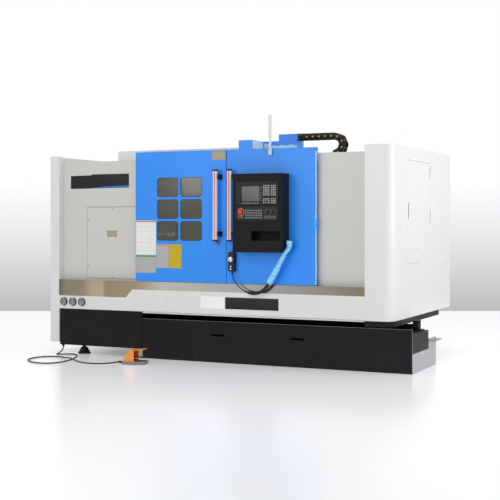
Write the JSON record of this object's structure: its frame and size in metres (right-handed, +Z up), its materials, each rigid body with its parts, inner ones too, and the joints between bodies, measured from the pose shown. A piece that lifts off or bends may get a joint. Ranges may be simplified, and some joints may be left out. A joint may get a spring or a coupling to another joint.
{
  "type": "cnc turning lathe",
  "caption": "Enclosed slant-bed turning lathe with sliding blue doors, a door-mounted control box, chuck, tool turret, tailstock, pull-out coolant tank and foot switch.",
  "frame": {"origin": "on the floor under the middle of the machine's box, tank handle and foot switch included", "axes": "+X along the spindle from the headstock to the tailstock, +Y from the front to the rear, +Z up"},
  "size_m": [3.827, 2.7039, 2.29],
  "materials": {
    "white_paint": "satin white enamel",
    "grey_paint": "satin warm grey enamel",
    "blue_paint": "semi-gloss blue enamel",
    "black_paint": "fine textured black enamel",
    "tank_paint": "satin mid grey enamel",
    "casting": "painted casting",
    "machined_steel": "ground steel",
    "polished_steel": "mirror polished stainless",
    "smoked_pane": "dark laminated pane",
    "screen_glass": "dull display glass",
    "handle_plastic": "pale moulded bar",
    "black_plastic": "black moulded plastic",
    "key_plastic": "pale key caps",
    "red_plastic": "red moulded plastic",
    "green_plastic": "green moulded plastic",
    "lamp_plastic": "clear and white plastic",
    "orange_paint": "orange enamel",
    "rubber": "black rubber",
    "film": "crumpled blue film over cable",
    "gauge_metal": "gauge bezel"
  },
  "bodies": {
    "frame": {"base_frame": "black_paint", "levelling_feet": "black_paint", "slant_bed": "casting", "headstock": "casting", "drive_motors": "casting", "drive_belt": "rubber", "left_end_cover": "white_paint", "right_end_cover": "white_paint", "front_panels": "grey_paint", "access_cover": "grey_paint", "roof_and_rear": "white_paint", "trim_strip": "polished_steel", "apron": "white_paint", "plinth_covers": "black_paint", "pressure_gauges": "gauge_metal", "door_rails": "machined_steel", "splash_guard": "machined_steel", "electrical_cabinet": "grey_paint", "foot_switch_base": "tank_paint", "foot_switch_hood": "orange_paint", "foot_cord": "rubber", "drag_chain": "black_plastic"},
    "left_door": {"left_door_panel": "blue_paint", "left_door_window": "smoked_pane", "left_door_handle": "handle_plastic"},
    "right_door": {"right_door_panel": "blue_paint", "right_door_handle": "handle_plastic", "control_box": "black_paint", "operator_panel": "black_plastic", "screen": "screen_glass", "keys": "key_plastic", "signal_lamp": "lamp_plastic", "cable_duct": "blue_paint", "handwheel_unit": "black_plastic", "handwheel_cord": "film"},
    "emergency_stop": {"emergency_stop": "red_plastic"},
    "start_button": {"start_button": "green_plastic"},
    "stop_button": {"stop_button": "red_plastic"},
    "feed_knob": {"feed_knob": "black_plastic"},
    "speed_knob": {"speed_knob": "black_plastic"},
    "handwheel": {"handwheel": "machined_steel"},
    "spindle": {"spindle": "machined_steel", "chuck_body": "machined_steel"},
    "chuck_jaw_1": {"chuck_jaw_1": "machined_steel"},
    "chuck_jaw_2": {"chuck_jaw_2": "machined_steel"},
    "chuck_jaw_3": {"chuck_jaw_3": "machined_steel"},
    "motor_pulley": {"motor_pulley": "machined_steel"},
    "feed_screw": {"feed_screw": "machined_steel"},
    "saddle": {"saddle": "casting"},
    "cross_slide": {"cross_slide": "casting"},
    "turret": {"turret_disc": "machined_steel"},
    "tailstock": {"tailstock": "casting"},
    "quill": {"tailstock_quill": "machined_steel"},
    "tank": {"coolant_tank": "tank_paint", "chip_tray": "black_paint", "coolant_pump": "black_paint"},
    "side_door": {"side_door": "white_paint"},
    "cabinet_door": {"cabinet_door": "white_paint"},
    "foot_pedal": {"foot_pedal": "orange_paint"}
  },
  "joints": [
    {"name": "left_door_slide", "type": "slide", "parent": "frame", "child": "left_door", "axis": [-1, 0, 0], "range_m": [0, 0.8]},
    {"name": "right_door_slide", "type": "slide", "parent": "frame", "child": "right_door", "axis": [1, 0, 0], "range_m": [0, 0.4], "deforming": ["drag_chain"]},
    {"name": "tank_slide", "type": "slide", "parent": "frame", "child": "tank", "axis": [1, 0, 0], "range_m": [0, 1]},
    {"name": "side_door_hinge", "type": "hinge", "parent": "frame", "child": "side_door", "pos_m": [1.6815, 0.46804, 1.5], "axis": [0, 0, 1], "range_deg": [0, 110]},
    {"name": "cabinet_door_hinge", "type": "hinge", "parent": "frame", "child": "cabinet_door", "pos_m": [-1.7175, 1.21804, 1.1], "axis": [0, 0, 1], "range_deg": [0, 110]},
    {"name": "spindle_turn", "type": "hinge", "parent": "frame", "child": "spindle", "pos_m": [-1.3135, -0.01696, 1.12], "axis": [1, 0, 0], "continuous": true},
    {"name": "motor_turn", "type": "hinge", "parent": "frame", "child": "motor_pulley", "pos_m": [-1.6735, -0.31696, 0.64], "axis": [1, 0, 0], "continuous": true},
    {"name": "jaw_1_slide", "type": "slide", "parent": "spindle", "child": "chuck_jaw_1", "axis": [0, 0, 1], "range_m": [-0.005, 0.005]},
    {"name": "jaw_2_slide", "type": "slide", "parent": "spindle", "child": "chuck_jaw_2", "axis": [0, -0.866, -0.5], "range_m": [-0.005, 0.005]},
    {"name": "jaw_3_slide", "type": "slide", "parent": "spindle", "child": "chuck_jaw_3", "axis": [0, 0.866, -0.5], "range_m": [-0.005, 0.005]},
    {"name": "saddle_feed", "type": "slide", "parent": "frame", "child": "saddle", "axis": [1, 0, 0], "range_m": [-0.55, 0]},
    {"name": "screw_turn", "type": "hinge", "parent": "frame", "child": "feed_screw", "pos_m": [0.0865, 0.19093, 0.91211], "axis": [1, 0, 0], "range_deg": [-9910, 10]},
    {"name": "cross_feed", "type": "slide", "parent": "saddle", "child": "cross_slide", "axis": [0, 0.7071, 0.7071], "range_m": [-0.12, 0]},
    {"name": "turret_index", "type": "hinge", "parent": "cross_slide", "child": "turret", "pos_m": [-0.0735, 0.25174, 1.3887], "axis": [1, 0, 0], "continuous": true},
    {"name": "tailstock_slide", "type": "slide", "parent": "frame", "child": "tailstock", "axis": [1, 0, 0], "range_m": [-0.3, 0]},
    {"name": "quill_slide", "type": "slide", "parent": "tailstock", "child": "quill", "axis": [-1, 0, 0], "range_m": [0, 0.1]},
    {"name": "emergency_stop_press", "type": "slide", "parent": "right_door", "child": "emergency_stop", "axis": [0, 1, 0], "range_m": [0, 0.006], "stiffness_N_per_m": 800},
    {"name": "start_press", "type": "slide", "parent": "right_door", "child": "start_button", "axis": [0, 1, 0], "range_m": [0, 0.003], "stiffness_N_per_m": 600},
    {"name": "stop_press", "type": "slide", "parent": "right_door", "child": "stop_button", "axis": [0, 1, 0], "range_m": [0, 0.003], "stiffness_N_per_m": 600},
    {"name": "feed_knob_turn", "type": "hinge", "parent": "right_door", "child": "feed_knob", "pos_m": [0.5535, -0.87696, 1.408], "axis": [0, -1, 0], "range_deg": [-135, 135]},
    {"name": "speed_knob_turn", "type": "hinge", "parent": "right_door", "child": "speed_knob", "pos_m": [0.6075, -0.87696, 1.408], "axis": [0, -1, 0], "range_deg": [-135, 135]},
    {"name": "handwheel_turn", "type": "hinge", "parent": "right_door", "child": "handwheel", "pos_m": [0.1365, -0.77696, 0.968], "axis": [0, -1, 0], "continuous": true},
    {"name": "pedal_press", "type": "hinge", "parent": "frame", "child": "foot_pedal", "pos_m": [-0.73383, -1.12952, 0.056], "axis": [-0.2011, 0.9796, 0], "range_deg": [0, 10], "stiffness_Nm_per_rad": 3, "springref_deg": -17.19}
  ],
  "couplings": [
    {"joint": "motor_turn", "follows": "spindle_turn", "ratio": 1.5},
    {"joint": "jaw_2_slide", "follows": "jaw_1_slide", "ratio": 1},
    {"joint": "jaw_3_slide", "follows": "jaw_1_slide", "ratio": 1},
    {"joint": "screw_turn", "follows": "saddle_feed", "rad_per_m": 314.16}
  ]
}
